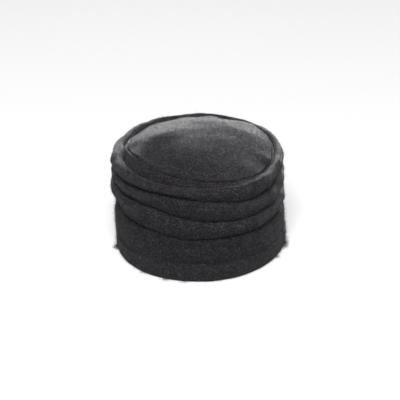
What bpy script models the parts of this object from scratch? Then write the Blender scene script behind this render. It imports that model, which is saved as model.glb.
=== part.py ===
"""An oval felt hat: a domed tip, a side gathered into three soft tucks, and a head band with a hem.

The hat stands on its hem. Z is up, the wearer's face is towards -Y and their left ear towards +X.
Every piece is one sheet of felt. Its section is a path through the middle of the sheet, given by a distance
outwards from the head oval and a height, and the path is worked out anew at each station round the oval.
"""

import bpy
import numpy as np

# Sizes of the hat, in metres
HEM_WIDTH = 0.172
HEM_LENGTH = 0.1975
SIDE_HEIGHT = 0.100
TIP_RISE = 0.0155
SEAM_INSET = 0.0150
HEM_HEIGHT = 0.0190

# Sizes of the felt and of its folds, in metres. A tuck stands out by its lower edge, the top roll by its
# widest line, both from the head oval.
FELT = 0.0022
LAYER_GAP = 0.0006
SEAM_GAP = 0.0003
FOLD_GAP = 0.0002
TUCK_DEPTH = 0.0050
ROLL_RADIUS = 0.0043
GROOVE_RADIUS = 0.0015
GROOVE_DEPTH = 0.0045
TUCK_SHOULDER = 0.0036
TUCK_STANDS_OUT = -0.0010
ROLL_STANDS_OUT = 0.0004
BAND_SHOULDER = 0.0032
HEM_DENT = 0.0014
HEM_DENT_SPREAD = 0.0030
TIP_TURN_DOWN = 0.0060

# How far the band follows the lowest tuck's edge, and how far a tuck's face has turned in where its lower
# edge begins, in degrees
BAND_SWEEP = 60
FACE_TURNS_IN = 25

# How far the crown leans towards the wearer's right as it rises, and how far the foot of the hem splays out
# towards the wearer's left front, in metres
SIDE_LEAN = 0.0036
HEM_SPLAY = 0.0026

# How square the head oval is: 2 is an ellipse
OVAL_POWER = 2.1

# Stations round the oval, steps of each arc in a section, and rings across the tip
STATIONS = 40
ROLL_STEPS = 5
FOLD_STEPS = 3
SHOULDER_STEPS = 2
TIP_RINGS = (0.20, 0.40, 0.58, 0.74, 0.87, 0.96)

# The height of each level in eight directions round the hat, as shares of SIDE_HEIGHT. The seam and the
# lower edges of the tucks sag towards the wearer's left, which is +X.
DIRECTIONS = ("left", "left_back", "back", "right_back", "right", "right_front", "front", "left_front")
LEVELS = {
    "seam": (0.957, 1.005, 0.995, 1.005, 1.06, 1.13, 1.076, 0.98),
    "crest": (0.96, 0.975, 1.00, 1.01, 1.01, 1.015, 0.995, 0.96),
    "tuck_top": (0.79, 0.80, 0.83, 0.86, 0.90, 0.895, 0.89, 0.79),
    "tuck_middle": (0.60, 0.63, 0.67, 0.70, 0.75, 0.785, 0.69, 0.60),
    "tuck_low": (0.42, 0.44, 0.46, 0.48, 0.52, 0.53, 0.465, 0.44),
}

# The seam's inset, the top roll's radius, the depth of the groove between them and the splay of the hem in
# the same directions, as shares of the named sizes. The groove fades at the front, towards the wearer's left.
AROUND = {
    "seam_inset": (0.79, 0.85, 1.00, 1.15, 1.21, 1.15, 1.00, 0.85),
    "roll_radius": (0.77, 0.84, 1.00, 1.16, 1.23, 1.16, 1.00, 0.84),
    "groove_depth": (0.85, 0.70, 1.00, 1.25, 1.25, 0.90, 0.30, 0.12),
    "hem_splay": (0.80, 0.15, 0.00, 0.00, 0.00, 0.00, -0.30, 0.75),
}

# How far a face swells outwards at most, as a share of its height
TUCK_SWELL_SHARE = 0.13
BAND_SWELL_SHARE = 0.035

# The two points of a tuck's face, which swells most near its top: how far down, as a share of its height,
# and how much of the swell
FACE_POINTS = ((0.30, 1.00), (0.70, 0.62))

# Edges that bend by more than this are drawn sharp, in degrees
SHARP_EDGE = 50

# The dome of the tip: how flat its middle is, and how far its top lies back, as a share of its half length
TIP_FLATNESS = 2.2
TIP_LEANS_BACK = 0.29

FELT_GREY = (0.036, 0.034, 0.038, 1.0)
BAND_GREY = (0.028, 0.027, 0.030, 1.0)

# Half the pitch of two layers of felt that lie on each other
PITCH = (FELT + LAYER_GAP) / 2

angle = np.linspace(0, 2 * np.pi, STATIONS, endpoint=False)
to_front = -np.sin(angle)


def all_round(values, spread=1.0):
    """The one smooth wave through the values in the eight directions, at every station.

    Spread draws each wave in towards the middle of the hat, the short waves faster than the long ones.
    """
    waves = np.fft.rfft(values) / len(DIRECTIONS)
    waves[1:-1] *= 2
    order = np.arange(len(waves))
    turned = np.exp(1j * np.outer(angle, order)) * spread**order
    return np.real(turned @ waves)


def level(name, spread=1.0):
    """The height of a level at every station."""
    return SIDE_HEIGHT * all_round(LEVELS[name], spread)


def oval(outwards, height, share=1.0):
    """World points of the head oval at this distance outwards and height, for every station.

    The oval is the hem's, a little squarer than an ellipse. The crown leans sideways as it rises, the hem
    splays towards its foot, and share draws the oval in towards its middle.
    """
    a = HEM_WIDTH / 2
    b = HEM_LENGTH / 2
    c, s = np.cos(angle), np.sin(angle)
    radius = (np.abs(c / a) ** OVAL_POWER + np.abs(s / b) ** OVAL_POWER) ** (-1 / OVAL_POWER)
    across = np.sign(c) * np.abs(c / a) ** (OVAL_POWER - 1) / a
    along = np.sign(s) * np.abs(s / b) ** (OVAL_POWER - 1) / b
    length = np.hypot(across, along)
    height = np.broadcast_to(height, angle.shape)
    rise = np.clip(height / SIDE_HEIGHT, 0, 1)
    lean = SIDE_LEAN * rise * rise * (3 - 2 * rise)
    outwards = outwards + HEM_SPLAY * all_round(AROUND["hem_splay"]) * (1 - rise) ** 3
    return np.stack(
        [
            share * (radius * c + outwards * across / length) - lean,
            share * (radius * s + outwards * along / length),
            height,
        ],
        axis=-1,
    )


def arc(centre, radius, start, end, steps):
    """Points of an arc in a section, from one angle to another in degrees, both ends included."""
    points = []
    for turn in np.linspace(0, 1, steps + 1):
        at = np.radians(start + (end - start) * turn)
        points.append((centre[0] + radius * np.cos(at), centre[1] + radius * np.sin(at)))
    return points


def fold_centre(name):
    """The middle of the rounded lower edge of a tuck, whose felt ends at the level's height."""
    return TUCK_STANDS_OUT - PITCH - FELT / 2, level(name) + PITCH + FELT / 2


def tuck(name, depth):
    """The felt round a tuck's lower edge, up behind it and over the hidden turn, to the layer behind."""
    out, up = fold_centre(name)
    path = arc((out, up), PITCH, -FACE_TURNS_IN, -180, FOLD_STEPS)
    path += arc((out - 2 * PITCH, up + depth), PITCH, 0, 180, FOLD_STEPS)
    return path


def below_tuck(name, shoulder, clearance=FOLD_GAP, sweep=90):
    """From the layer behind a tuck, under its edge and over a rounded shoulder, until the felt hangs down.

    Sweep is how far round the tuck's edge the felt follows it, in degrees.
    """
    out, up = fold_centre(name)
    radius = 3 * PITCH + clearance
    path = arc((out, up), radius, 180, 180 + sweep, SHOULDER_STEPS)
    heading = np.radians(sweep - 90)
    middle = (path[-1][0] + shoulder * np.sin(heading), path[-1][1] - shoulder * np.cos(heading))
    path += arc(middle, shoulder, sweep, 0, SHOULDER_STEPS)[1:]
    return path


def side_path():
    """The middle of the side's felt, from the seam down to its end behind the lowest tuck."""
    crest = level("crest")
    roll_room = (crest - level("tuck_top")) - 2 * FELT - PITCH
    roll = np.minimum(ROLL_RADIUS * all_round(AROUND["roll_radius"]), roll_room)
    depth = GROOVE_DEPTH * all_round(AROUND["groove_depth"])
    roll_middle = (ROLL_STANDS_OUT - roll - FELT / 2, crest - FELT / 2 - roll)
    groove_up = crest - depth - FELT / 2 + GROOVE_RADIUS
    reach = roll + GROOVE_RADIUS
    between = np.sqrt(np.maximum(reach**2 - (groove_up - roll_middle[1]) ** 2, (reach / 2) ** 2))
    groove = (roll_middle[0] - between, groove_up)

    # The felt starts beside the tip's edge and runs down, tangent to the groove
    start = (FELT / 2 + SEAM_GAP - seam_inset(), level("seam") - FELT / 2)
    away = np.hypot(groove[0] - start[0], groove[1] - start[1])
    lift = np.arctan2(groove[1] - start[1], groove[0] - start[0])
    touch = np.degrees(lift - np.arcsin(np.clip(GROOVE_RADIUS / away, -1, 1))) - 90
    leave = np.degrees(np.arctan2(roll_middle[1] - groove[1], roll_middle[0] - groove[0]))
    path = [start]
    path += arc(groove, GROOVE_RADIUS, touch, leave, FOLD_STEPS)
    path += arc(roll_middle, roll, leave + 180, 0, ROLL_STEPS)[1:]

    # The puffed roll hangs over the top tuck, and two more tucks follow
    path += face(path[-1], "tuck_top")
    turn_room = (crest - level("tuck_top")) - 2 * FELT - 2 * PITCH - LAYER_GAP
    hidden = np.clip(turn_room / 2, LAYER_GAP, TUCK_DEPTH)
    path += tuck("tuck_top", hidden)
    path += below_tuck("tuck_top", TUCK_SHOULDER)
    path += face(path[-1], "tuck_middle")
    path += tuck("tuck_middle", TUCK_DEPTH)
    path += below_tuck("tuck_middle", TUCK_SHOULDER)
    path += face(path[-1], "tuck_low")
    out, up = fold_centre("tuck_low")
    path += arc((out, up), PITCH, -FACE_TURNS_IN, -180, FOLD_STEPS)
    path.append((out - PITCH, up + TUCK_DEPTH))
    return path


def face(top, name):
    """Points of a tuck's outer face, swelled between its top and the lower edge of the named level."""
    out, up = fold_centre(name)
    edge = (out + PITCH * np.cos(np.radians(FACE_TURNS_IN)), up - PITCH * np.sin(np.radians(FACE_TURNS_IN)))
    swell = TUCK_SWELL_SHARE * (top[1] - up)
    path = []
    for down, part in FACE_POINTS:
        path.append((top[0] + down * (edge[0] - top[0]) + part * swell, top[1] + down * (edge[1] - top[1])))
    return path


def band_path():
    """The middle of the band's felt, from behind the lowest tuck down and round the hem to its raw edge."""
    behind = LAYER_GAP / 2
    out, up = fold_centre("tuck_low")
    path = [(out - 3 * PITCH - behind, up + TUCK_DEPTH)]
    path += below_tuck("tuck_low", BAND_SHOULDER, behind, BAND_SWEEP)
    hang = path[-1]
    foot = (-(PITCH + FELT / 2), foot_height())
    outer = foot[0] + PITCH
    swell = BAND_SWELL_SHARE * (hang[1] - HEM_HEIGHT)
    path.append(((hang[0] + outer) / 2 + swell, (hang[1] + HEM_HEIGHT) / 2))
    path.append((outer, HEM_HEIGHT + HEM_DENT_SPREAD))
    path.append((outer - HEM_DENT, HEM_HEIGHT))
    path.append((outer, HEM_HEIGHT - HEM_DENT_SPREAD))
    path += arc(foot, PITCH, 0, -180, FOLD_STEPS)
    inner = outer - 2 * PITCH
    path.append((inner, HEM_HEIGHT - HEM_DENT_SPREAD))
    path.append((inner - HEM_DENT, HEM_HEIGHT))
    path.append((inner - HEM_DENT, HEM_HEIGHT + HEM_DENT_SPREAD))
    return path


def foot_height():
    """The height of the middle of the hem's rounded foot, whose lowest step lies flat on the surface."""
    return (PITCH * np.sin(np.pi / FOLD_STEPS)) + FELT / 2


def seam_inset():
    """How far the seam lies inside the head oval, at every station."""
    return SEAM_INSET * all_round(AROUND["seam_inset"])


def thicken(path):
    """The closed section of a sheet, half its thickness to each side of the path.

    At a bend the points move out along the bisector by a little more, so that the wall keeps its thickness.
    """
    points = np.array([np.stack(np.broadcast_arrays(out, up, angle))[:2] for out, up in path])
    steps = np.diff(points, axis=0)
    steps /= np.linalg.norm(steps, axis=1, keepdims=True)
    before = np.concatenate([steps[:1], steps])
    after = np.concatenate([steps, steps[-1:]])
    along = before + after
    along /= np.linalg.norm(along, axis=1, keepdims=True)
    square = np.stack([-along[:, 1], along[:, 0]], axis=1)
    half = FELT / 2 / np.sum(along * after, axis=1, keepdims=True)
    return np.concatenate([points + square * half, (points - square * half)[::-1]])


def ring_faces(rings, first=0, closed=False):
    """Quads between neighbouring rings of stations, and from the last ring to the first if closed."""
    row = np.arange(STATIONS)
    following = (row + 1) % STATIONS
    faces = []
    for ring in range(rings if closed else rings - 1):
        here = first + ring * STATIONS
        there = first + (ring + 1) % rings * STATIONS
        faces += np.stack([here + row, there + row, there + following, here + following], axis=1).tolist()
    return faces


def sheet_rings(path):
    """World rings of a sheet that runs all round the hat."""
    return [oval(out, up) for out, up in thicken(path)]


def tip_height(share):
    """The height of the tip's upper side at a share of the way from its middle to the seam."""
    dome = TIP_RISE * (1 - share**TIP_FLATNESS)
    return level("seam", share) + dome * (1 - TIP_LEANS_BACK * to_front * share)


def tip_rings():
    """World rings of the tip, from its top middle out, down round the turned-down edge and back beneath."""
    seam = level("seam")
    inset = -seam_inset()
    corner = FELT / 4
    rings = [oval(inset, tip_height(share), share) for share in TIP_RINGS]
    rings.append(oval(inset - corner, seam - corner / 2))
    rings.append(oval(inset, seam - 2 * corner))
    rings.append(oval(inset, seam - TIP_TURN_DOWN))
    rings.append(oval(inset - FELT, seam - TIP_TURN_DOWN))
    rings.append(oval(inset - FELT, seam - FELT - 2 * corner))
    rings += [oval(inset, tip_height(share) - FELT, share) for share in reversed(TIP_RINGS)]
    return rings


def add_object(name, rings, caps, material, middle):
    """One closed object from rings of stations. Caps closes the first and last ring over a middle point."""
    points = np.concatenate(rings) - middle
    faces = ring_faces(len(rings), closed=not caps)
    points = points.tolist()
    if caps:
        row = np.arange(STATIONS)
        following = (row + 1) % STATIONS
        last = (len(rings) - 1) * STATIONS
        top = len(points)
        points.append(np.mean(points[:STATIONS], axis=0) + np.array(caps[0]))
        points.append(np.mean(points[last : last + STATIONS], axis=0) + np.array(caps[1]))
        faces += np.stack([np.full(STATIONS, top), row, following], axis=1).tolist()
        faces += np.stack([np.full(STATIONS, top + 1), last + following, last + row], axis=1).tolist()
    mesh = bpy.data.meshes.new(name)
    mesh.from_pydata(points, [], faces)
    mesh.shade_smooth()
    mesh.set_sharp_from_angle(angle=np.radians(SHARP_EDGE))
    mesh.materials.append(material)
    made = bpy.data.objects.new(name, mesh)
    hat.objects.link(made)
    return made


def felt(name, colour):
    material = bpy.data.materials.new(name)
    material.use_nodes = True
    shader = material.node_tree.nodes["Principled BSDF"]
    shader.inputs["Base Color"].default_value = colour
    shader.inputs["Roughness"].default_value = 0.95
    shader.inputs["Metallic"].default_value = 0.0
    return material


for leftover in list(bpy.data.objects):
    bpy.data.objects.remove(leftover)

hat = bpy.data.collections.new("felt_hat")
bpy.context.scene.collection.children.link(hat)

side = sheet_rings(side_path())
band = sheet_rings(band_path())
tip = tip_rings()
everything = np.concatenate(side + band + tip)
low, high = everything.min(axis=0), everything.max(axis=0)
box_middle = np.array([(low[0] + high[0]) / 2, (low[1] + high[1]) / 2, 0.0])

smooth_felt = felt("smooth_felt", FELT_GREY)
brushed_felt = felt("brushed_felt", BAND_GREY)
rise_to_middle = TIP_RISE * TIP_RINGS[0] ** TIP_FLATNESS
add_object("tucked_side", side, None, smooth_felt, box_middle)
add_object("head_band", band, None, brushed_felt, box_middle)
add_object("tip", tip, ((0, 0, rise_to_middle), (0, 0, rise_to_middle)), smooth_felt, box_middle)
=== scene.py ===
# %% [markdown]
# # A tucked felt hat on a white table
#
# The hat is an oval cap of boiled wool felt: a domed tip, a side strip gathered into three soft tucks, and a
# head band with a turned-up, stitched hem. A plain model of it is loaded first, and each cell then lays one
# finished piece or finish over it, with a note on what it is and why it is made this way.

# %% Load the plain model
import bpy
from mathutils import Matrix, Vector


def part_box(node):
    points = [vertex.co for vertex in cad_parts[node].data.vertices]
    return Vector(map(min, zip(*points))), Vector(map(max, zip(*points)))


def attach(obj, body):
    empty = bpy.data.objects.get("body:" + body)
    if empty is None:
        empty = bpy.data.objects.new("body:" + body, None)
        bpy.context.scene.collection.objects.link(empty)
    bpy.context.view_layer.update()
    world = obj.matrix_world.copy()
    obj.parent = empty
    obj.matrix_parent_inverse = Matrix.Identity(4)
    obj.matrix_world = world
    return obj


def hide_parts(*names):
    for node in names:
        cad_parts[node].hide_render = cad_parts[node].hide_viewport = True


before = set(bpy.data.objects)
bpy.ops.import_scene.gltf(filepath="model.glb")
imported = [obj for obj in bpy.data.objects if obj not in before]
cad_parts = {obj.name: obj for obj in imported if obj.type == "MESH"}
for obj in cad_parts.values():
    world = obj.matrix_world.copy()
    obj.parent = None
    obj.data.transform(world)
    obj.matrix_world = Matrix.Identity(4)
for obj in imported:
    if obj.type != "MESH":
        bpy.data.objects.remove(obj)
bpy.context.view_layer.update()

import bpy
import numpy as np
from mathutils import Vector

# %% [markdown]
# ## The sizes of the hat
# A milliner works from a block and a few measures: the head oval, the height of the side, and how deep each
# tuck laps over the next. The same few measures drive every surface below. Heights differ from side to side
# because the felt sags, so each level has a value in eight directions, as a share of the side's height.

# %% Sizes of the hat, in metres
HEM_WIDTH = 0.172
HEM_LENGTH = 0.1975
OVAL_POWER = 2.1
SIDE_HEIGHT = 0.100
SIDE_LEAN = 0.0036
TIP_RISE = 0.0155
TIP_FLATNESS = 2.2
TIP_LEANS_BACK = 0.29
TIP_TURN_DOWN = 0.0060
TIP_ROUNDING = 0.0017
SEAM_STEP = 0.0014
SEAM_INSET = 0.0150
HEM_HEIGHT = 0.0190

FELT = 0.0022
LAYER_GAP = 0.0006
SEAM_GAP = 0.0003
FOLD_GAP = 0.0002
TUCK_DEPTH = 0.0050
TUCK_SHOULDER = 0.0050
TUCK_STANDS_OUT = -0.0023
ROLL_STANDS_OUT = 0.0004
ROLL_RADIUS = 0.0043
GROOVE_RADIUS = 0.0015
GROOVE_DEPTH = 0.0045
BAND_SHOULDER = 0.0040
BAND_SWEEP = 74
FACE_TURNS_IN = 25
HEM_DENT = 0.0020
HEM_DENT_SPREAD = 0.0030
HEM_DENT_SHARPNESS = 1.6
HEM_SPLAY = 0.0026
TUCK_SWELL_SHARE = 0.11
TUCK_SWELL_SKEW = 0.70
BAND_SWELL_SHARE = 0.045
PITCH = (FELT + LAYER_GAP) / 2

# Heights as shares of SIDE_HEIGHT, from the wearer's left (+X) round by the back (+Y)
LEVELS = {
    "seam": (0.957, 1.005, 0.995, 1.005, 1.06, 1.13, 1.076, 0.98),
    "crest": (0.96, 0.975, 1.00, 1.01, 1.01, 1.015, 0.995, 0.96),
    "tuck_top": (0.79, 0.80, 0.83, 0.86, 0.90, 0.895, 0.89, 0.79),
    "tuck_middle": (0.60, 0.63, 0.67, 0.70, 0.75, 0.785, 0.69, 0.60),
    "tuck_low": (0.42, 0.44, 0.46, 0.48, 0.52, 0.53, 0.465, 0.44),
}
AROUND = {
    "seam_inset": (0.79, 0.85, 1.00, 1.15, 1.21, 1.15, 1.00, 0.85),
    "roll_radius": (0.77, 0.84, 1.00, 1.16, 1.23, 1.16, 1.00, 0.84),
    "groove_depth": (0.85, 0.70, 1.00, 1.25, 1.25, 1.15, 0.40, 0.14),
    "hem_splay": (0.80, 0.15, 0.00, 0.00, 0.00, 0.20, 0.30, 0.60),
}

# %% [markdown]
# ## Round the oval
# Everything runs round the head, so every measure becomes a row of values, one for each station of the oval.
# Eight given values make one smooth wave through a Fourier sum: it closes on itself and has no corner,
# just as felt steamed over a block has none.

# %% Stations and waves
STATIONS = 560
angle = np.linspace(0, 2 * np.pi, STATIONS, endpoint=False)
to_front = -np.sin(angle)


def all_round(values, spread=1.0):
    """The smooth wave through eight values: the sum of their Fourier terms at every station.

    Each term is multiplied by spread to the power of its order, so that towards the middle of the hat
    (spread 0) only the mean is left. Spread may be a column, one value for each ring.
    """
    waves = np.fft.rfft(values) / len(values)
    waves[1:-1] *= 2
    order = np.arange(len(waves))
    spread = np.asarray(spread, dtype=float)
    turned = np.exp(1j * np.outer(angle, order)) * (spread[..., None, None] ** order)
    return np.real(turned @ waves)


def level(name, spread=1.0):
    """The height of a named level at every station."""
    return SIDE_HEIGHT * all_round(LEVELS[name], spread)


for name in LEVELS:
    print(name, "from", round(1000 * level(name).min(), 1), "to", round(1000 * level(name).max(), 1), "mm")

# %% [markdown]
# ## Soft unevenness
# Milled wool is never quite even: it swells and dips by a few tenths of a millimetre over a finger's width.
# A sum of a few dozen slow cosine waves with seeded headings gives that. Every layer of the folded felt is
# moved by the same field, so layers that lie on each other keep their distance.

# %% Fields that move the felt
MEAN_RADIUS = 0.092


def unevenness(seed, wavelength, height, waves=24):
    """A soft random field over the side, with variance 1.

    It is the sum of cos(turns * angle + slant * height + phase). Turns are whole numbers, so that the field
    closes round the hat. Each wave has its own heading and a length near wavelength.
    """
    draw = np.random.default_rng(seed)
    heading = draw.uniform(0, 2 * np.pi, waves)
    number = 2 * np.pi / (wavelength * draw.uniform(0.7, 1.6, waves))
    turns = np.round(number * np.cos(heading) * MEAN_RADIUS)
    slant = number * np.sin(heading)
    phase = draw.uniform(0, 2 * np.pi, waves)
    total = np.zeros(np.broadcast_shapes(np.shape(height), angle.shape))
    for turn, rise, start in zip(turns, slant, phase):
        total += np.cos(turn * angle + rise * height + start)
    return total / np.sqrt(waves / 2)


def summed(rows, field, *place):
    """The sum of a table's random fields at a place, each times its height."""
    return sum(row["high"] * field(row["seed"], row["length"], *place, waves=row["waves"]) for row in rows)


# Swells outwards and sags up and down: seed, length and height in metres, and how many waves are summed
SWELLS = (
    {"seed": 11, "length": 0.034, "high": 0.00045, "waves": 24},
    {"seed": 12, "length": 0.013, "high": 0.00012, "waves": 24},
    {"seed": 13, "length": 0.0055, "high": 0.00005, "waves": 40},
)
SAGS = (
    {"seed": 21, "length": 0.045, "high": 0.00055, "waves": 24},
    {"seed": 22, "length": 0.016, "high": 0.00008, "waves": 24},
)
HEM_SWELL_SHARE = 0.4

# Dents and swellings that are seen on the hat: degrees round and metres up, how wide in degrees, and how high
# and how far out in metres
DENTS = (
    {"round": -172, "up": 0.101, "wide": 16, "high": 0.007, "out": 0.0010},
    {"round": -150, "up": 0.083, "wide": 12, "high": 0.006, "out": -0.0006},
    {"round": -128, "up": 0.066, "wide": 14, "high": 0.008, "out": 0.0007},
    {"round": -92, "up": 0.083, "wide": 12, "high": 0.007, "out": 0.0006},
    {"round": -60, "up": 0.057, "wide": 16, "high": 0.008, "out": 0.0008},
    {"round": -100, "up": 0.032, "wide": 18, "high": 0.010, "out": -0.0008},
    {"round": -40, "up": 0.030, "wide": 14, "high": 0.012, "out": 0.0008},
    {"round": -12, "up": 0.012, "wide": 16, "high": 0.012, "out": 0.0012},
    {"round": -30, "up": 0.093, "wide": 16, "high": 0.006, "out": 0.0008},
)


def moved(out, up):
    """The felt's distance outwards and height after sagging, swelling and denting, which all layers share.

    Sags fade to nothing at the hem, which stands on the table, and swells to HEM_SWELL_SHARE of themselves.
    """
    steady = np.clip(up / HEM_HEIGHT, 0, 1)
    shift = summed(SWELLS, unevenness, up)
    for dent in DENTS:
        turn = np.angle(np.exp(1j * (angle - np.radians(dent["round"])))) / np.radians(dent["wide"])
        rise = (up - dent["up"]) / dent["high"]
        shift = shift + dent["out"] * np.exp(-(turn**2) - rise**2)
    lift = summed(SAGS, unevenness, up)
    return out + shift * (HEM_SWELL_SHARE + (1 - HEM_SWELL_SHARE) * steady), up + lift * steady


def oval(out, up, share=1.0):
    """World points at a distance outwards from the head oval and a height: the oval's radius plus its normal.

    The oval is |x / a|^p + |y / b|^p = 1. The crown leans sideways as it rises, the hem splays by the cube of
    how far down it is, and share draws all in.
    """
    a, b = HEM_WIDTH / 2, HEM_LENGTH / 2
    c, s = np.cos(angle), np.sin(angle)
    radius = (np.abs(c / a) ** OVAL_POWER + np.abs(s / b) ** OVAL_POWER) ** (-1 / OVAL_POWER)
    across = np.sign(c) * np.abs(c / a) ** (OVAL_POWER - 1) / a
    along = np.sign(s) * np.abs(s / b) ** (OVAL_POWER - 1) / b
    length = np.hypot(across, along)
    rise = np.clip(up / SIDE_HEIGHT, 0, 1)
    lean = SIDE_LEAN * rise * rise * (3 - 2 * rise)
    out = out + HEM_SPLAY * all_round(AROUND["hem_splay"]) * (1 - rise) ** 3
    x = share * (radius * c + out * across / length) - lean
    y = share * (radius * s + out * along / length)
    return np.stack(np.broadcast_arrays(x, y, up), axis=-1)


# %% [markdown]
# ## A folded sheet from its section
# A tuck is easiest to think of as a drawing of the felt cut through: down the outside, round the lower
# edge, up behind it, over a hidden turn and down again. The drawing is a path of short runs and arcs, worked
# out for all stations at once, softened a little, and thickened by half the felt to each side.

# %% Tools for sections
ROLL_STEPS = 16
FOLD_STEPS = 6
SHOULDER_STEPS = 5
FACE_STEPS = 11
BAND_STEPS = 22
HEM_STEPS = 14
FOOT_STEPS = 9
HIDDEN_STEPS = {"behind a tuck": 2, "end of the side": 4, "start of the band": 3}
INNER_KEEP = 2
SOFTENING = 3
BAND_SOFTENING = 2
# A bend widens the section by 1 / SHARPEST_BEND at most, and a raw edge has RAW_EDGE of the felt's thickness
SHARPEST_BEND = 0.7
RAW_EDGE = 0.6


def arc(out, up, radius, start, end, steps):
    """Points of an arc from one angle to another, in degrees: middle plus radius times cosine and sine."""
    at = np.radians(start + (end - start) * np.linspace(0, 1, steps + 1)[:, None])
    return np.stack([out + radius * np.cos(at), up + radius * np.sin(at)], axis=1)


def run(start, end, steps, swell=0.0, skew=0.0):
    """Points strictly between two ends, on a straight line that swells outwards.

    The swell is the parabola 4 t (1 - t), times 1 + skew (1 - 2 t), so that it is fullest near the start.
    """
    share = np.linspace(0, 1, steps + 1)[1:-1, None, None]
    points = start + (end - start) * share
    down = share[:, 0]
    points[:, 0] += swell * 4 * down * (1 - down) * (1 + skew * (1 - 2 * down))
    return points


def fold_centre(name):
    """The middle of the rounded lower edge of a tuck, whose felt ends at the level's height."""
    return np.full(STATIONS, TUCK_STANDS_OUT - PITCH - FELT / 2), level(name) + PITCH + FELT / 2


def tuck(name, depth):
    """Round a tuck's lower edge, up behind it and over the hidden turn."""
    out, up = fold_centre(name)
    lower = arc(out, up, PITCH, -FACE_TURNS_IN, -180, FOLD_STEPS)
    upper = arc(out - 2 * PITCH, up + depth, PITCH, 0, 180, FOLD_STEPS)
    return [lower, run(lower[-1], upper[0], HIDDEN_STEPS["behind a tuck"]), upper]


def below_tuck(name, shoulder, clearance=FOLD_GAP, sweep=90):
    """From behind a tuck, under its edge and over a rounded shoulder, until the felt hangs down."""
    out, up = fold_centre(name)
    under = arc(out, up, 3 * PITCH + clearance, 180, 180 + sweep, SHOULDER_STEPS)
    heading = np.radians(sweep - 90)
    middle = under[-1] + shoulder * np.array([[np.sin(heading)], [-np.cos(heading)]])
    return [under, arc(middle[0], middle[1], shoulder, sweep, 0, SHOULDER_STEPS)[1:]]


def face(top, name):
    """The outer face of a tuck, from its top to its lower edge, swelled by a share of its height."""
    out, up = fold_centre(name)
    turn = np.radians(FACE_TURNS_IN)
    end = np.stack([out + PITCH * np.cos(turn), up - PITCH * np.sin(turn)])
    return [run(top, end, FACE_STEPS, TUCK_SWELL_SHARE * (top[1] - up), TUCK_SWELL_SKEW)]


def soften(path, passes=SOFTENING):
    """Rounds a path: each inner point becomes half of itself and a quarter of each neighbour."""
    for _ in range(passes):
        path[1:-1] = (path[:-2] + 2 * path[1:-1] + path[2:]) / 4
    return path


def thicken(path):
    """The closed section of a sheet: the path moved half the felt to each side, square to its bisectors."""
    steps = np.diff(path, axis=0)
    steps /= np.linalg.norm(steps, axis=1, keepdims=True)
    before = np.concatenate([steps[:1], steps])
    after = np.concatenate([steps, steps[-1:]])
    along = before + after
    along /= np.linalg.norm(along, axis=1, keepdims=True)
    square = np.stack([-along[:, 1], along[:, 0]], axis=1)
    half = FELT / 2 / np.clip(np.sum(along * after, axis=1, keepdims=True), SHARPEST_BEND, 1)
    rounded = np.ones(len(path))
    rounded[[0, -1]] = RAW_EDGE
    half = half * rounded[:, None, None]
    outer = path + square * half
    inner = path - square * half
    return outer, inner


def sheet_points(path, keep=1):
    """World rings of a sheet: its outer side downwards, then its inner side upwards, thinned by keep."""
    outer, inner = thicken(path)
    inner = np.concatenate([inner[:-1:keep], inner[-1:]])
    section = np.concatenate([outer, inner[::-1]])
    return oval(*moved(section[:, 0], section[:, 1])), len(outer)


def ring_quads(rings, closed):
    """Corner numbers of the quads between neighbouring rings, and from the last to the first if closed."""
    row = np.arange(STATIONS)
    following = (row + 1) % STATIONS
    here = (np.arange(rings if closed else rings - 1) * STATIONS)[:, None]
    there = (here + STATIONS) % (rings * STATIONS)
    return np.stack([here + row, there + row, there + following, here + following], axis=-1).reshape(-1, 4)


# %% [markdown]
# ## The side, folded into tucks
# On the real hat the strip starts at the seam round the tip, dips into a groove, puffs up as a roll and then
# laps down over itself three times. All of it is one strip of felt, so it is one path here too. The groove
# and the roll are two circles that touch, which is how a soft sheet lies over a stuffed edge.

# %% The path of the side
def seam_inset():
    """How far the seam lies inside the head oval, at every station."""
    return SEAM_INSET * all_round(AROUND["seam_inset"])


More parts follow.
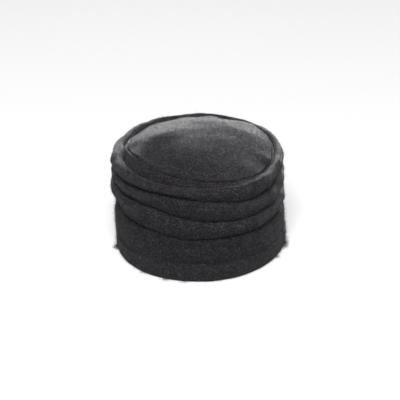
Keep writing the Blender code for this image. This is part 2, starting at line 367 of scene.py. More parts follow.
def side_path():
    """The middle of the side's felt, from the seam down to its end behind the lowest tuck."""
    crest = level("crest")
    roll_room = (crest - level("tuck_top")) - 2 * FELT - PITCH
    roll = np.minimum(ROLL_RADIUS * all_round(AROUND["roll_radius"]), roll_room)
    depth = GROOVE_DEPTH * all_round(AROUND["groove_depth"])
    roll_out = ROLL_STANDS_OUT - roll - FELT / 2
    roll_up = crest - FELT / 2 - roll
    groove_up = crest - depth - FELT / 2 + GROOVE_RADIUS
    reach = roll + GROOVE_RADIUS
    groove_out = roll_out - np.sqrt(np.maximum(reach**2 - (groove_up - roll_up) ** 2, (reach / 2) ** 2))

    start = np.stack([FELT / 2 + SEAM_GAP - seam_inset(), level("seam") - FELT / 2 - SEAM_STEP])
    away = np.hypot(groove_out - start[0], groove_up - start[1])
    lift = np.arctan2(groove_up - start[1], groove_out - start[0])
    touch = np.degrees(lift - np.arcsin(np.clip(GROOVE_RADIUS / away, -1, 1))) - 90
    leave = np.degrees(np.arctan2(roll_up - groove_up, roll_out - groove_out))
    groove = arc(groove_out, groove_up, GROOVE_RADIUS, touch, leave, SHOULDER_STEPS)
    roll_arc = arc(roll_out, roll_up, roll, leave + 180, 0, ROLL_STEPS)[1:]
    runs = [start[None], run(start, groove[0], FACE_STEPS), groove, roll_arc]

    runs += face(roll_arc[-1], "tuck_top")
    turn_room = (crest - level("tuck_top")) - 2 * FELT - 2 * PITCH - LAYER_GAP
    runs += tuck("tuck_top", np.clip(turn_room / 2, LAYER_GAP, TUCK_DEPTH))
    runs += below_tuck("tuck_top", TUCK_SHOULDER)
    runs += face(runs[-1][-1], "tuck_middle")
    runs += tuck("tuck_middle", TUCK_DEPTH)
    runs += below_tuck("tuck_middle", TUCK_SHOULDER)
    runs += face(runs[-1][-1], "tuck_low")
    out, up = fold_centre("tuck_low")
    runs += [arc(out, up, PITCH, -FACE_TURNS_IN, -180, FOLD_STEPS)]
    behind = np.stack([out - PITCH, up + TUCK_DEPTH])
    runs += [run(runs[-1][-1], behind, HIDDEN_STEPS["end of the side"]), behind[None]]
    return soften(np.concatenate(runs))


side = side_path()
side_length = np.linalg.norm(np.diff(side, axis=0), axis=1).sum(axis=0)
shortest, longest = (1000 * side_length.min()).round(), (1000 * side_length.max()).round()
print("side: felt from seam to end", shortest, "to", longest, "mm")

# %% [markdown]
# ## The head band and its hem
# The band is a coarser, brushed strip. Its top edge hides behind the lowest tuck, and its foot is turned up
# inside and sewn with one row of stitches, which draws a shallow dent all round.

# %% The path of the band
def band_path():
    """The middle of the band's felt, from behind the lowest tuck down and round the hem to its raw edge."""
    behind = LAYER_GAP / 2
    out, up = fold_centre("tuck_low")
    start = np.stack([out - 3 * PITCH - behind, up + TUCK_DEPTH])
    under = below_tuck("tuck_low", BAND_SHOULDER, behind, BAND_SWEEP)
    foot_out = np.full(STATIONS, -(PITCH + FELT / 2))
    foot_up = np.full(STATIONS, PITCH + FELT / 2)
    foot = arc(foot_out, foot_up, PITCH, 0, -180, FOOT_STEPS)
    outer = np.stack([foot_out + PITCH, np.full(STATIONS, HEM_HEIGHT)])
    hang = under[-1][-1]
    swell = BAND_SWELL_SHARE * (hang[1] - HEM_HEIGHT)
    down = run(hang, outer, BAND_STEPS, swell)
    hem = run(outer, foot[0], HEM_STEPS)
    inner = np.stack([foot[-1][0], np.full(STATIONS, HEM_HEIGHT + HEM_DENT_SPREAD)])
    hidden = run(start, under[0][0], HIDDEN_STEPS["start of the band"])
    runs = [start[None], hidden, *under, down, outer[None], hem, foot]
    runs += [run(foot[-1], inner, HEM_STEPS), inner[None]]
    path = soften(np.concatenate(runs), BAND_SOFTENING)
    dent = HEM_DENT * np.exp(-(((path[:, 1] - HEM_HEIGHT) / HEM_DENT_SPREAD * HEM_DENT_SHARPNESS) ** 2))
    path[:, 0] -= dent
    return path


band = band_path()

# %% [markdown]
# ## The tip
# The tip is an oval of felt steamed into a shallow dome. Where it was handled it keeps soft ridges, and
# along the back the seam gathers it into small puckers. Both are bumps of a Gaussian form laid over the dome.

# %% The rings of the tip
TIP_RINGS = 64
TIP_START = 0.02
CORNER_RINGS = 5
TURNED_RINGS = 5
INNER_RINGS = 4
UNDER_KEEP = 3
RIM_FADE = 8
RIM_CARRY = 6

# Unevenness of the tip, in the same columns as that of the side
TIP_SWELLS = (
    {"seed": 31, "length": 0.030, "high": 0.00016, "waves": 24},
    {"seed": 32, "length": 0.010, "high": 0.00003, "waves": 24},
    {"seed": 33, "length": 0.0045, "high": 0.000015, "waves": 40},
)

# Soft forms on the tip: where in metres, half length, half width ahead and behind, how they are turned, and
# how high. The first is the ridge in front of the flattened back left of the tip.
TIP_FORMS = (
    {"x": -0.043, "y": -0.022, "long": 0.034, "ahead": 0.013, "behind": 0.027, "turn": 50, "high": 0.0036},
    {"x": 0.012, "y": 0.034, "long": 0.040, "ahead": 0.012, "behind": 0.016, "turn": 0, "high": 0.0014},
    {"x": 0.030, "y": -0.020, "long": 0.034, "ahead": 0.024, "behind": 0.024, "turn": 60, "high": -0.0008},
    {"x": -0.020, "y": -0.040, "long": 0.030, "ahead": 0.020, "behind": 0.020, "turn": -20, "high": 0.0006},
)

# Puckers along the seam: degrees round, how wide, how high, and how far in they reach
PUCKERS = (
    {"round": 116, "wide": 8, "high": 0.0026, "reach": 0.20},
    {"round": 92, "wide": 7, "high": 0.0026, "reach": 0.20},
    {"round": 60, "wide": 9, "high": 0.0024, "reach": 0.20},
    {"round": 104, "wide": 5, "high": -0.0020, "reach": 0.16},
    {"round": 77, "wide": 6, "high": -0.0020, "reach": 0.16},
    {"round": 142, "wide": 10, "high": 0.0012, "reach": 0.20},
    {"round": 30, "wide": 12, "high": 0.0008, "reach": 0.18},
)


def tip_forms(x, y, share):
    """Height added to the dome: turned Gaussian ridges and dents, and puckers that fade inwards."""
    total = np.zeros(np.broadcast_shapes(x.shape, y.shape))
    for form in TIP_FORMS:
        c, s = np.cos(np.radians(form["turn"])), np.sin(np.radians(form["turn"]))
        dx, dy = x - form["x"], y - form["y"]
        along, across = (dx * c + dy * s) / form["long"], dy * c - dx * s
        across = across / np.where(across > 0, form["behind"], form["ahead"])
        total += form["high"] * np.exp(-(along**2) - across**2) * (1 - share**RIM_FADE)
    for pucker in PUCKERS:
        turn = np.angle(np.exp(1j * (angle - np.radians(pucker["round"])))) / np.radians(pucker["wide"])
        total += pucker["high"] * np.exp(-(turn**2) - ((1 - share) / pucker["reach"]) ** 2)
    return total


def flat_unevenness(seed, wavelength, x, y, waves=24):
    """A soft random field over the plan, with variance 1: the sum of cos(p * x + q * y + phase)."""
    draw = np.random.default_rng(seed)
    heading = draw.uniform(0, 2 * np.pi, waves)
    number = 2 * np.pi / (wavelength * draw.uniform(0.7, 1.6, waves))
    phase = draw.uniform(0, 2 * np.pi, waves)
    total = np.zeros(x.shape)
    for n, h, start in zip(number, heading, phase):
        total += np.cos(n * (np.cos(h) * x + np.sin(h) * y) + start)
    return total / np.sqrt(waves / 2)


def tip_points():
    """World rings of the tip: from its middle out, over a rounded corner, down the seam and back beneath.

    Its rim follows the side's sags and swells, and carries the rest by share to the power of RIM_CARRY.
    """
    inset = -seam_inset()
    share = np.linspace(TIP_START, 1, TIP_RINGS)[:, None]
    seam = level("seam")
    dome = TIP_RISE * (1 - share**TIP_FLATNESS) * (1 - TIP_LEANS_BACK * to_front * share)
    height = level("seam", share[:, 0]).reshape(TIP_RINGS, STATIONS) + dome
    plan = oval(inset, height, share)
    height = height + tip_forms(plan[..., 0], plan[..., 1], share)
    height += summed(TIP_SWELLS, flat_unevenness, plan[..., 0], plan[..., 1])
    edge_out, edge_up = moved(inset, seam)
    carry = share**RIM_CARRY
    height += carry * (edge_up - seam)
    rise = height[-1]

    turned = np.linspace(0, 90, CORNER_RINGS + 1)[1:]
    rings = [
        oval(edge_out - TIP_ROUNDING * (1 - np.sin(t)), rise - TIP_ROUNDING * (1 - np.cos(t)))
        for t in np.radians(turned)
    ]
    top_rings = oval(inset + carry * (edge_out - inset) - TIP_ROUNDING * share, height, share)
    drops = np.linspace(TIP_ROUNDING, TIP_TURN_DOWN, TURNED_RINGS + 1)[1:]
    side_rings = [oval(edge_out, rise - drop) for drop in drops]
    drops = np.linspace(TIP_TURN_DOWN, 2 * FELT, INNER_RINGS)
    inner_rings = [oval(edge_out - FELT, rise - drop) for drop in drops]
    under = oval(inset + carry * (edge_out - inset) - FELT * share, height - FELT, share)[::-UNDER_KEEP]
    return np.concatenate([top_rings, rings, side_rings, inner_rings, under]), TIP_RINGS + len(rings)


# %% [markdown]
# ## Felt
# Boiled wool felt is dyed in the fleece, so dark and light fibres lie mixed: from afar it reads as charcoal,
# from near as a fine heather. The nap throws light sideways, which brightens every surface seen along its
# face; sheen gives that. The swells wider than a few millimetres are in the shapes, and the grain is bump.

# %% Colours and nodes
def linear(code):
    """Linear colour from an sRGB hex code: ((c + 0.055) / 1.055) ^ 2.4 above 0.04045, else c / 12.92."""
    c = np.array([int(code[i : i + 2], 16) for i in (1, 3, 5)]) / 255
    return tuple(np.where(c > 0.04045, ((c + 0.055) / 1.055) ** 2.4, c / 12.92)) + (1.0,)


def add_node(tree, kind, inputs=None, links=None, **settings):
    """Adds a node, sets its fields, gives values to its inputs and links other nodes' outputs to them."""
    node = tree.nodes.new(kind)
    for field, value in settings.items():
        setattr(node, field, value)
    for socket, value in (inputs or {}).items():
        node.inputs[socket].default_value = value
    for socket, source in (links or {}).items():
        tree.links.new(source, node.inputs[socket])
    return node


def ramp(tree, source, stops):
    """A colour ramp over a value: stops are pairs of a position and a colour."""
    node = add_node(tree, "ShaderNodeValToRGB", links={"Fac": source})
    node.color_ramp.elements[0].position, node.color_ramp.elements[0].color = stops[0]
    node.color_ramp.elements[1].position, node.color_ramp.elements[1].color = stops[-1]
    for position, colour in stops[1:-1]:
        element = node.color_ramp.elements.new(position)
        element.color = colour
    return node.outputs["Color"]


def grain(tree, place, size, detail=2.0, roughness=0.5, distortion=0.0):
    """A noise whose features are about size metres across."""
    node = add_node(
        tree,
        "ShaderNodeTexNoise",
        {"Scale": 1 / size, "Detail": detail, "Roughness": roughness, "Distortion": distortion},
        {"Vector": place},
    )
    return node.outputs["Fac"]


def mix(tree, factor, one, other, blend="MIX"):
    """Mixes two colours. The factor, and each colour, is a value or another node's output.

    A mix node of colours takes its factor at socket 0 and the colours at sockets 6 and 7.
    """
    node = add_node(tree, "ShaderNodeMix", data_type="RGBA", blend_type=blend)
    for socket, value in ((node.inputs[0], factor), (node.inputs[6], one), (node.inputs[7], other)):
        if isinstance(value, bpy.types.NodeSocket):
            tree.links.new(value, socket)
        else:
            socket.default_value = value
    return node.outputs[2]


# Sizes in metres: the cloudy tone, the faint tint, and the coarse grain, which is COARSE_SHARE of the relief
CLOUD_SIZE = 0.009
TINT_SIZE = 0.006
COARSE_GRAIN = 0.0032
COARSE_SHARE = 0.55
FINE_GRAIN_SHARE = 0.45
RELIEF_STRENGTH = 0.9
# Heights in metres where the felt starts to be made paler towards the hem, and where it is fully paler
PALER_HEM_STARTS = HEM_HEIGHT + 0.002
PALER_HEM_IS_FULL = HEM_HEIGHT - 0.004
SHEEN_LEAST = 0.2
SHEEN_MOST = 2.1
SHEEN_SPREAD = 0.25
SHEEN_COLOUR = "#d8d4d8"
# Where on the noise the dark, two middle and light tones of the heather lie, and which flecks catch the sheen
TONE_STOPS = (0.40, 0.48, 0.56, 0.68)
SHEEN_FLECKS = (0.38, 0.64)
CLOUD_TONES = ((0.35, (0.84, 0.84, 0.85, 1)), (0.65, (1.16, 1.15, 1.15, 1)))
TINT_TONES = ((0.40, (0.97, 1.01, 1.00, 1)), (0.60, (1.03, 0.99, 1.02, 1)))


def wool_felt(name, dark, mid, light, fleck, bump, sheen, hem_paler=1.0):
    """Boiled wool felt. Fleck is the size of its heather, bump the height of its grain, both in metres.

    The last argument is how much paler the felt is made below the top of the turned-up hem.
    """
    material = bpy.data.materials.new(name)
    material.use_nodes = True
    tree = material.node_tree
    place = add_node(tree, "ShaderNodeTexCoord").outputs["Object"]
    flecks = grain(tree, place, fleck, 3.0, 0.65, 0.6)
    tones = [linear(dark), linear(mid), linear(mid), linear(light)]
    heather = ramp(tree, flecks, list(zip(TONE_STOPS, tones)))
    cloud = grain(tree, place, CLOUD_SIZE, 2.0, 0.5)
    cloud = ramp(tree, cloud, CLOUD_TONES)
    tint = grain(tree, place, TINT_SIZE, 1.0, 0.5)
    tint = ramp(tree, tint, TINT_TONES)
    colour = mix(tree, 1.0, mix(tree, 1.0, heather, cloud, "MULTIPLY"), tint, "MULTIPLY")
    height_up = add_node(tree, "ShaderNodeSeparateXYZ", links={"Vector": place}).outputs["Z"]
    edge = {"From Min": PALER_HEM_IS_FULL, "From Max": PALER_HEM_STARTS}
    # The colour is made paler below the top of the hem, by the last argument
    above = add_node(tree, "ShaderNodeMapRange", edge, {"Value": height_up})
    paler_below_hem = ramp(tree, above.outputs["Result"], [(0.0, (hem_paler, hem_paler, hem_paler, 1)), (1.0, (1, 1, 1, 1))])
    colour = mix(tree, 1.0, colour, paler_below_hem, "MULTIPLY")
    fine = grain(tree, place, fleck * FINE_GRAIN_SHARE, 4.0, 0.7, 0.8)
    grains = {0: grain(tree, place, COARSE_GRAIN, 2.0, 0.6, 0.4), 2: fine}
    height = add_node(tree, "ShaderNodeMath", {1: COARSE_SHARE}, grains, operation="MULTIPLY_ADD").outputs[0]
    strength = {"Strength": RELIEF_STRENGTH, "Distance": bump}
    relief = add_node(tree, "ShaderNodeBump", strength, {"Height": height})
    shader = tree.nodes["Principled BSDF"]
    shader.inputs["Roughness"].default_value = 0.95
    shader.inputs["Specular IOR Level"].default_value = 0.12
    spread = {"From Min": SHEEN_FLECKS[0], "From Max": SHEEN_FLECKS[1]}
    spread.update({"To Min": SHEEN_LEAST * sheen, "To Max": SHEEN_MOST * sheen})
    nap = add_node(tree, "ShaderNodeMapRange", spread, {"Value": flecks})
    tree.links.new(nap.outputs["Result"], shader.inputs["Sheen Weight"])
    shader.inputs["Sheen Roughness"].default_value = SHEEN_SPREAD
    shader.inputs["Sheen Tint"].default_value = linear(SHEEN_COLOUR)
    tree.links.new(colour, shader.inputs["Base Color"])
    tree.links.new(relief.outputs["Normal"], shader.inputs["Normal"])
    return material


smooth_felt = wool_felt("smooth_felt_wool", "#0a090b", "#19181b", "#3e3c40", 0.0014, 0.0011, 0.056)
brushed_felt = wool_felt("brushed_felt_wool", "#0b0b0d", "#151416", "#323033", 0.0018, 0.0010, 0.047, 1.50)

# %% [markdown]
# ## Make the three pieces of felt
# A mesh is a list of points and a list of faces that name their corners. Rings of points that follow each
# other make quads, and the tip's first and last ring are closed over their middles. The plain hat stands in
# the middle of its own box, so the new pieces are moved by the step that brings the two together.

# %% Make the three pieces of felt
def make_piece(name, points, faces, material):
    """A new mesh object from arrays of points and corner numbers, shaded smooth."""
    mesh = bpy.data.meshes.new(name)
    mesh.from_pydata(points.tolist(), [], faces.tolist() if isinstance(faces, np.ndarray) else faces)
    mesh.shade_smooth()
    mesh.materials.append(material)
    made = bpy.data.objects.new(name, mesh)
    bpy.context.scene.collection.objects.link(made)
    return made


def capped(points):
    """Closes the first and the last ring of points over their middles."""
    rings = len(points)
    row = np.arange(STATIONS)
    following = (row + 1) % STATIONS
    last = (rings - 1) * STATIONS
    flat = np.concatenate([points.reshape(-1, 3), points[:1].mean(axis=1), points[-1:].mean(axis=1)])
    top = rings * STATIONS
    faces = ring_quads(rings, False).tolist()
    faces += np.stack([np.full(STATIONS, top), row, following], axis=1).tolist()
    faces += np.stack([np.full(STATIONS, top + 1), last + following, last + row], axis=1).tolist()
    return flat, faces


def folded_piece(name, rings, material):
    """A folded sheet: its closed section, joined ring to ring."""
    return make_piece(name, rings.reshape(-1, 3), ring_quads(len(rings), True), material)


drawn = oval(side[:, 0], side[:, 1]).reshape(-1, 3)
side_low, side_high = (np.array(corner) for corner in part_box("tucked_side"))
shift = (drawn.min(axis=0) + drawn.max(axis=0) - side_low - side_high) / 2
shift[2] = 0.0
print("the hat stands", (1000 * -shift[:2]).round(2), "mm from the middle of its own oval")

side_rings, side_outer = sheet_points(side, INNER_KEEP)
band_rings, band_outer = sheet_points(band, INNER_KEEP)
tip_ring_points, tip_outer = tip_points()
side_rings, band_rings, tip_ring_points = side_rings - shift, band_rings - shift, tip_ring_points - shift

felt_side = folded_piece("felt_side", side_rings, smooth_felt)
felt_band = folded_piece("felt_band", band_rings, brushed_felt)
felt_tip = make_piece("felt_tip", *capped(tip_ring_points), smooth_felt)
for piece in (felt_side, felt_band, felt_tip):
    print(piece.name, len(piece.data.polygons), "faces")

# %% [markdown]
# ## The nap
# Loose fibres stand out of the felt's face. They are too few to hide it, but they soften every outline and
# catch the light at the edges. Each is a bent ribbon of two steps, rooted at a random point of the outer
# face, and all the fibres of one row of the table below are one mesh made from arrays.

# %% Fibres
FIBRE_REST = 0.0003
FIBRE_WIDTH = 0.00009
TUFT_WIDTH = 0.00017
FIBRE_ROOT_DEPTH = 0.0001
FIBRE_DROOP = 0.25
# Shape of a fibre, as shares of its length, its bend and its width
MIDDLE_AT = 0.55
MIDDLE_BEND = 0.25
MIDDLE_WIDTH = 0.8
END_AT = 0.9
# How lengths, widths and bends vary from fibre to fibre, as shares, and the first seeds of the random draws
LENGTH_SPREAD = (0.5, 1.5)
WIDTH_SPREAD = (0.7, 1.3)
BEND_SPREAD = (-0.5, 0.5)
PLACE_SEED, AIM_SEED, SIZE_SEED, BEND_SEED = 40, 50, 60, 70

# Tufts where the hem is rubbed: degrees round, metres up, how wide and high, and how thick against the others
TUFTS = (
    {"round": -150, "up": 0.003, "wide": 2.5, "high": 0.003, "thick": 1.0},
    {"round": -113, "up": 0.002, "wide": 1.2, "high": 0.002, "thick": 0.8},
    {"round": -98, "up": 0.001, "wide": 2.0, "high": 0.002, "thick": 0.9},
    {"round": -87, "up": 0.001, "wide": 1.0, "high": 0.002, "thick": 0.9},
    {"round": -3, "up": 0.003, "wide": 3.0, "high": 0.004, "thick": 1.0},
    {"round": -20, "up": 0.002, "wide": 1.5, "high": 0.003, "thick": 0.7},
    {"round": 178, "up": 0.012, "wide": 2.0, "high": 0.004, "thick": 0.5},
    {"round": 100, "up": 0.002, "wide": 2.5, "high": 0.003, "thick": 0.6},
    {"round": 35, "up": 0.002, "wide": 2.0, "high": 0.003, "thick": 0.6},
)


def fibre_mesh(name, roots, aims, lengths, widths, bends, seed, material):
    """One mesh of bent ribbons: root, a middle bent aside, and a tip, each ribbon a quad and a triangle.

    A fibre that would reach into the table is laid along it.
    """
    draw = np.random.default_rng(seed)
    count = len(roots)
    aside = np.cross(aims, draw.normal(size=(count, 3)))
    aside /= np.linalg.norm(aside, axis=1, keepdims=True)
    bent = np.cross(aims, aside)
    wide = aside * widths[:, None] / 2
    centre = roots + aims * lengths[:, None] * MIDDLE_AT + bent * (bends * lengths)[:, None] * MIDDLE_BEND
    end = roots + aims * lengths[:, None] * END_AT + bent * (bends * lengths)[:, None]
    waist = wide * MIDDLE_WIDTH
    points = np.stack([roots - wide, roots + wide, centre + waist, centre - waist, end], axis=1)
    points[..., 2] = np.maximum(points[..., 2], FIBRE_REST)
    base = (np.arange(count) * 5)[:, None]
    quads = (base + np.array([0, 1, 2, 3])).tolist()
    triangles = (base + np.array([3, 2, 4])).tolist()
    return make_piece(name, points.reshape(-1, 3), quads + triangles, material)


def tuft_share(points):
    """How thickly fibres stand at points: each tuft adds thick * exp(-(turn / wide)^2 - (rise / high)^2)."""
    turn = np.arctan2(points[..., 1], points[..., 0])
    total = np.zeros(turn.shape)
    for tuft in TUFTS:
        away = np.angle(np.exp(1j * (turn - np.radians(tuft["round"])))) / np.radians(tuft["wide"])
        total += tuft["thick"] * np.exp(-(away**2) - ((points[..., 2] - tuft["up"]) / tuft["high"]) ** 2)
    return total


def scatter(rings, outer, count, seed, skip=1, share=None):
    """Random points on the outer rings with their normals, spread evenly by area over the quads.

    Share, if given, is a function of the points that thins them out.
    """
    draw = np.random.default_rng(seed)
    a = rings[skip : outer - 1 - skip]
    b = rings[skip + 1 : outer - skip]
    a_next, b_next = np.roll(a, -1, axis=1), np.roll(b, -1, axis=1)
    normal = np.cross(b - a, a_next - a)
    area = np.linalg.norm(normal, axis=-1)
    chance = area if share is None else area * share(a)
    pick = draw.choice(area.size, count, p=(chance / chance.sum()).ravel())
    u, v = draw.random((2, count, 1))
    corners = [c.reshape(-1, 3)[pick] for c in (a, b, a_next, b_next)]
    points = (corners[0] * (1 - u) + corners[1] * u) * (1 - v) + (corners[2] * (1 - u) + corners[3] * u) * v
    normals = (normal / np.maximum(area, 1e-12)[..., None]).reshape(-1, 3)[pick]
    return points, normals


def aimed(normals, lean, seed, droop=0.0):
    """Headings that lean away from the normals by a random share, and droop by a share of straight down."""
    draw = np.random.default_rng(seed)
    side_step = draw.normal(size=normals.shape)
    side_step -= normals * np.sum(side_step * normals, axis=1, keepdims=True)
    side_step /= np.linalg.norm(side_step, axis=1, keepdims=True)
    tilt = np.radians(draw.uniform(*lean, len(normals)))[:, None]
    heading = normals * np.cos(tilt) + side_step * np.sin(tilt) - np.array([0, 0, droop])
    return heading / np.linalg.norm(heading, axis=1, keepdims=True)


def fibre_wool(name, code):
    """Single wool fibres: the felt's own dye, painted paler to stand for the light that passes through them.
    """
    material = bpy.data.materials.new(name)
    material.use_nodes = True
    shader = material.node_tree.nodes["Principled BSDF"]
    shader.inputs["Base Color"].default_value = linear(code)
    shader.inputs["Roughness"].default_value = 0.9
    shader.inputs["Specular IOR Level"].default_value = 0.1
    shader.inputs["Sheen Weight"].default_value = 0.13
    return material


# The fibres' grey is painted paler than the felt, as painted light for the light passing through them
grey_fibre = fibre_wool("grey_wool_fibre", "#2c2b2e")
OUTER_FACES = {
    "tip": (tip_ring_points, tip_outer),
    "side": (side_rings, side_outer),
    "band": (band_rings, band_outer),
}

# How many fibres grow on which felt, their length in metres, and how far they lean over, in degrees
NAPS = (
    {"name": "tip_nap", "on": "tip", "count": 26000, "long": 0.0016, "lean": (35, 82)},
    {"name": "side_nap", "on": "side", "count": 40000, "long": 0.0017, "lean": (35, 80)},
    {"name": "band_nap", "on": "band", "count": 40000, "long": 0.0026, "lean": (30, 78)},
    {"name": "tip_strays", "on": "tip", "count": 2500, "long": 0.0034, "lean": (5, 60)},
    {"name": "side_strays", "on": "side", "count": 6000, "long": 0.0034, "lean": (5, 60)},
    {"name": "band_strays", "on": "band", "count": 6000, "long": 0.0044, "lean": (5, 60)},
    {"name": "hem_tufts", "on": "band", "count": 1600, "long": 0.0058, "lean": (5, 50)},
)
naps = {}
for number, nap in enumerate(NAPS):
    draw = np.random.default_rng(SIZE_SEED + number)
    share = tuft_share if nap["name"] == "hem_tufts" else None
    roots, normals = scatter(*OUTER_FACES[nap["on"]], nap["count"], PLACE_SEED + number, share=share)
    aims = aimed(normals, nap["lean"], AIM_SEED + number, FIBRE_DROOP)
    lengths = nap["long"] * draw.uniform(*LENGTH_SPREAD, nap["count"])
    widths = (TUFT_WIDTH if share else FIBRE_WIDTH) * draw.uniform(*WIDTH_SPREAD, nap["count"])
    bends = draw.uniform(*BEND_SPREAD, nap["count"])
    roots = roots - normals * FIBRE_ROOT_DEPTH
    seed = BEND_SEED + number
    naps[nap["name"]] = fibre_mesh(nap["name"], roots, aims, lengths, widths, bends, seed, grey_fibre)

# %% [markdown]
# ## The stitches of the hem
# A row of machine stitches in the same grey as the felt holds the turned-up hem. The thread pulls into the
# soft wool, so only the middle of each stitch shows. Each is a tube that dives in at both ends.

# %% Stitches
STITCH_LENGTH = 0.0030
STITCH_PITCH = 0.0038
THREAD_RADIUS = 0.00022
STITCH_RISES = 0.00010
STITCH_DIVES = 0.00045
STITCH_STEPS = 7
THREAD_SIDES = 6


def stitch_row(name, ring, material):
    """Tubes along a closed ring of points: each follows the ring, and its height over it is a parabola."""
    closed = np.concatenate([ring, ring[:1]])
    travelled = np.concatenate([[0], np.cumsum(np.linalg.norm(np.diff(closed, axis=0), axis=1))])
    loop = travelled[-1]
    count = int(loop // STITCH_PITCH)
    begins = np.arange(count) * loop / count
    along = np.linspace(0, 1, STITCH_STEPS)
    at = begins[:, None] + along * STITCH_LENGTH
    places = [np.interp(at, travelled, closed[:, i], period=loop) for i in range(3)]
    places = np.stack(places, axis=-1)
    ahead = np.gradient(places, axis=1)
    ahead /= np.linalg.norm(ahead, axis=-1, keepdims=True)
    outwards = np.cross(ahead, (0, 0, 1))
    outwards /= np.linalg.norm(outwards, axis=-1, keepdims=True)
    upwards = np.cross(outwards, ahead)
    bow = 4 * along * (1 - along)
    places = places + outwards * (STITCH_RISES * bow - STITCH_DIVES * (1 - bow))[:, None]
    turn = np.linspace(0, 2 * np.pi, THREAD_SIDES, endpoint=False)[:, None]
    rim = outwards[:, :, None] * np.cos(turn) + upwards[:, :, None] * np.sin(turn)
    points = (places[:, :, None] + THREAD_RADIUS * rim).reshape(-1, 3)

    side_step = np.arange(THREAD_SIDES)
    following = (side_step + 1) % THREAD_SIDES
    here = (np.arange(STITCH_STEPS - 1) * THREAD_SIDES)[:, None]
    there = here + THREAD_SIDES
    quads = np.stack([here + side_step, here + following, there + following, there + side_step], axis=-1)
    base = (np.arange(count) * STITCH_STEPS * THREAD_SIDES)[:, None]
    faces = (base[:, :, None] + quads.reshape(-1, 4)).reshape(-1, 4).tolist()
    faces += (base + side_step[::-1]).tolist()
    faces += (base + side_step + (STITCH_STEPS - 1) * THREAD_SIDES).tolist()
    print(name, count, "stitches")
    return make_piece(name, points, faces, material)


outer_heights = band_rings[:band_outer, :, 2].mean(axis=1)
stitched = band_rings[np.argmin(np.abs(outer_heights - HEM_HEIGHT))]
hem_stitches = stitch_row("hem_stitches", stitched, grey_fibre)

# %% [markdown]
# ## Attach the pieces
# Each new piece rides with the hat's one rigid body, and the felt pieces stand in for the plain solids.

for piece, node, slot in (
    (felt_tip, "tip", "smooth_felt"),
    (felt_side, "tucked_side", "smooth_felt"),
    (felt_band, "head_band", "brushed_felt"),
):
    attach(piece, "root")
    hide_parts(node)
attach(hem_stitches, "root")
for nap in naps.values():
    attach(nap, "root")

# %% [markdown]
# ## The table and the light
# The hat stands on a white table that fills the view. A wide lamp high in front shapes the folds, and two low
# lamps behind brighten the far edge of the tip. A lamp's size sets how soft its shadow is: the wider, the
# softer. The sky is dim but for a pale band near the horizon, which is the backdrop in a low view.

# %% Table, sky and lamps
TABLE_REACH = 6.0
TABLE_TOP = -0.0001
PAPER_GREY = "#9c9c9c"
PAPER_GLOW = 0.39
corners = [(x * TABLE_REACH, y * TABLE_REACH, TABLE_TOP) for x, y in ((-1, -1), (1, -1), (1, 1), (-1, 1))]
floor_mesh = bpy.data.meshes.new("table_top")
floor_mesh.from_pydata(corners, [], [(0, 1, 2, 3)])
table_top = bpy.data.objects.new("table_top", floor_mesh)
bpy.context.scene.collection.objects.link(table_top)
white_paper = bpy.data.materials.new("white_paper")
white_paper.use_nodes = True
paper = white_paper.node_tree.nodes["Principled BSDF"]
paper.inputs["Base Color"].default_value = linear(PAPER_GREY)
paper.inputs["Roughness"].default_value = 0.9
paper.inputs["Specular IOR Level"].default_value = 0.1
paper.inputs["Emission Color"].default_value = (1, 1, 1, 1)
paper.inputs["Emission Strength"].default_value = PAPER_GLOW
floor_mesh.materials.append(white_paper)

# The sky by height: a pale backdrop low down, and dim above it, so that the lamps shape the folds
SKY = ((0.0, 0.70), (0.13, 0.66), (0.26, 0.07), (1.0, 0.24))
world = bpy.data.worlds.new("studio_sky")
world.use_nodes = True
sky = world.node_tree
direction = add_node(sky, "ShaderNodeTexCoord").outputs["Generated"]
parts = add_node(sky, "ShaderNodeSeparateXYZ", links={"Vector": direction})
glow = ramp(sky, parts.outputs["Z"], [(rise, (grey, grey, grey, 1)) for rise, grey in SKY])
sky.links.new(glow, sky.nodes["Background"].inputs["Color"])
bpy.context.scene.world = world

# Where each lamp stands, what it points at, its width and height in metres, and its power in watts
LAMPS = (
    {"name": "back_lamp", "at": (-0.3, 2.2, 0.40), "to": (0, 0, 0.11), "size": (1.4, 0.42), "watts": 380},
    {"name": "back_right_lamp", "at": (1.3, 1.9, 0.24), "to": (0, 0, 0.11), "size": (1.2, 0.14), "watts": 27},
    {"name": "front_lamp", "at": (0.2, -2.2, 3.0), "to": (0, 0, 0.05), "size": (1.6, 1.6), "watts": 300},
    {"name": "top_lamp", "at": (0, 0.4, 2.6), "to": (0, 0, 0.05), "size": (1.4, 1.4), "watts": 14},
    {"name": "right_lamp", "at": (1.9, -0.2, 0.9), "to": (0, 0, 0.05), "size": (0.8, 0.8), "watts": 4},
)
FLAGGED = ("back_lamp", "back_right_lamp")


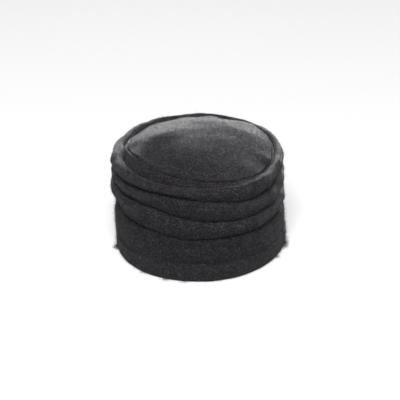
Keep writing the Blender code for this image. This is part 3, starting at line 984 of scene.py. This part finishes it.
def point_at(item, at, to):
    """Places an object and turns it so that its -Z axis runs to a point."""
    item.location = at
    item.rotation_mode = "QUATERNION"
    item.rotation_quaternion = Vector(np.array(to) - np.array(at)).to_track_quat("-Z", "Y")


# Flags keep the two low lamps off the table, so that they light the felt alone
lit_felt = bpy.data.collections.new("lit_felt")
for piece in (felt_side, felt_band, felt_tip, hem_stitches, *naps.values()):
    lit_felt.objects.link(piece)

for lamp in LAMPS:
    light = bpy.data.lights.new(lamp["name"], "AREA")
    light.shape = "RECTANGLE"
    light.size, light.size_y = lamp["size"]
    light.energy = lamp["watts"]
    placed = bpy.data.objects.new(lamp["name"], light)
    bpy.context.scene.collection.objects.link(placed)
    point_at(placed, lamp["at"], lamp["to"])
    if lamp["name"] in FLAGGED:
        placed.light_linking.receiver_collection = lit_felt

# %% [markdown]
# ## The camera
# The camera stands a little to the wearer's left of straight ahead, about 26 degrees above the table, with
# a long lens. Azimuth and elevation are kept as numbers, so the view can be changed at one place.

# %% Camera
VIEW_AZIMUTH = np.radians(12)
VIEW_ELEVATION = np.radians(25.8)
VIEW_DISTANCE = 1.3
LENS = 113.0
SENSOR_WIDTH = 36.0
TARGET_ASIDE = -0.0010
TARGET_UP = 0.0419
ahead = np.array([
    -np.sin(VIEW_AZIMUTH) * np.cos(VIEW_ELEVATION),
    np.cos(VIEW_AZIMUTH) * np.cos(VIEW_ELEVATION),
    -np.sin(VIEW_ELEVATION),
])
rightwards = np.array([np.cos(VIEW_AZIMUTH), np.sin(VIEW_AZIMUTH), 0])
target = -shift + rightwards * TARGET_ASIDE + np.array([0, 0, TARGET_UP])
camera_data = bpy.data.cameras.new("camera")
camera_data.lens = LENS
camera_data.sensor_width = SENSOR_WIDTH
camera = bpy.data.objects.new("camera", camera_data)
bpy.context.scene.collection.objects.link(camera)
point_at(camera, tuple(target - VIEW_DISTANCE * ahead), tuple(target))
bpy.context.scene.camera = camera
bpy.context.scene.view_settings.view_transform = "Standard"
bpy.context.scene.view_settings.look = "None"
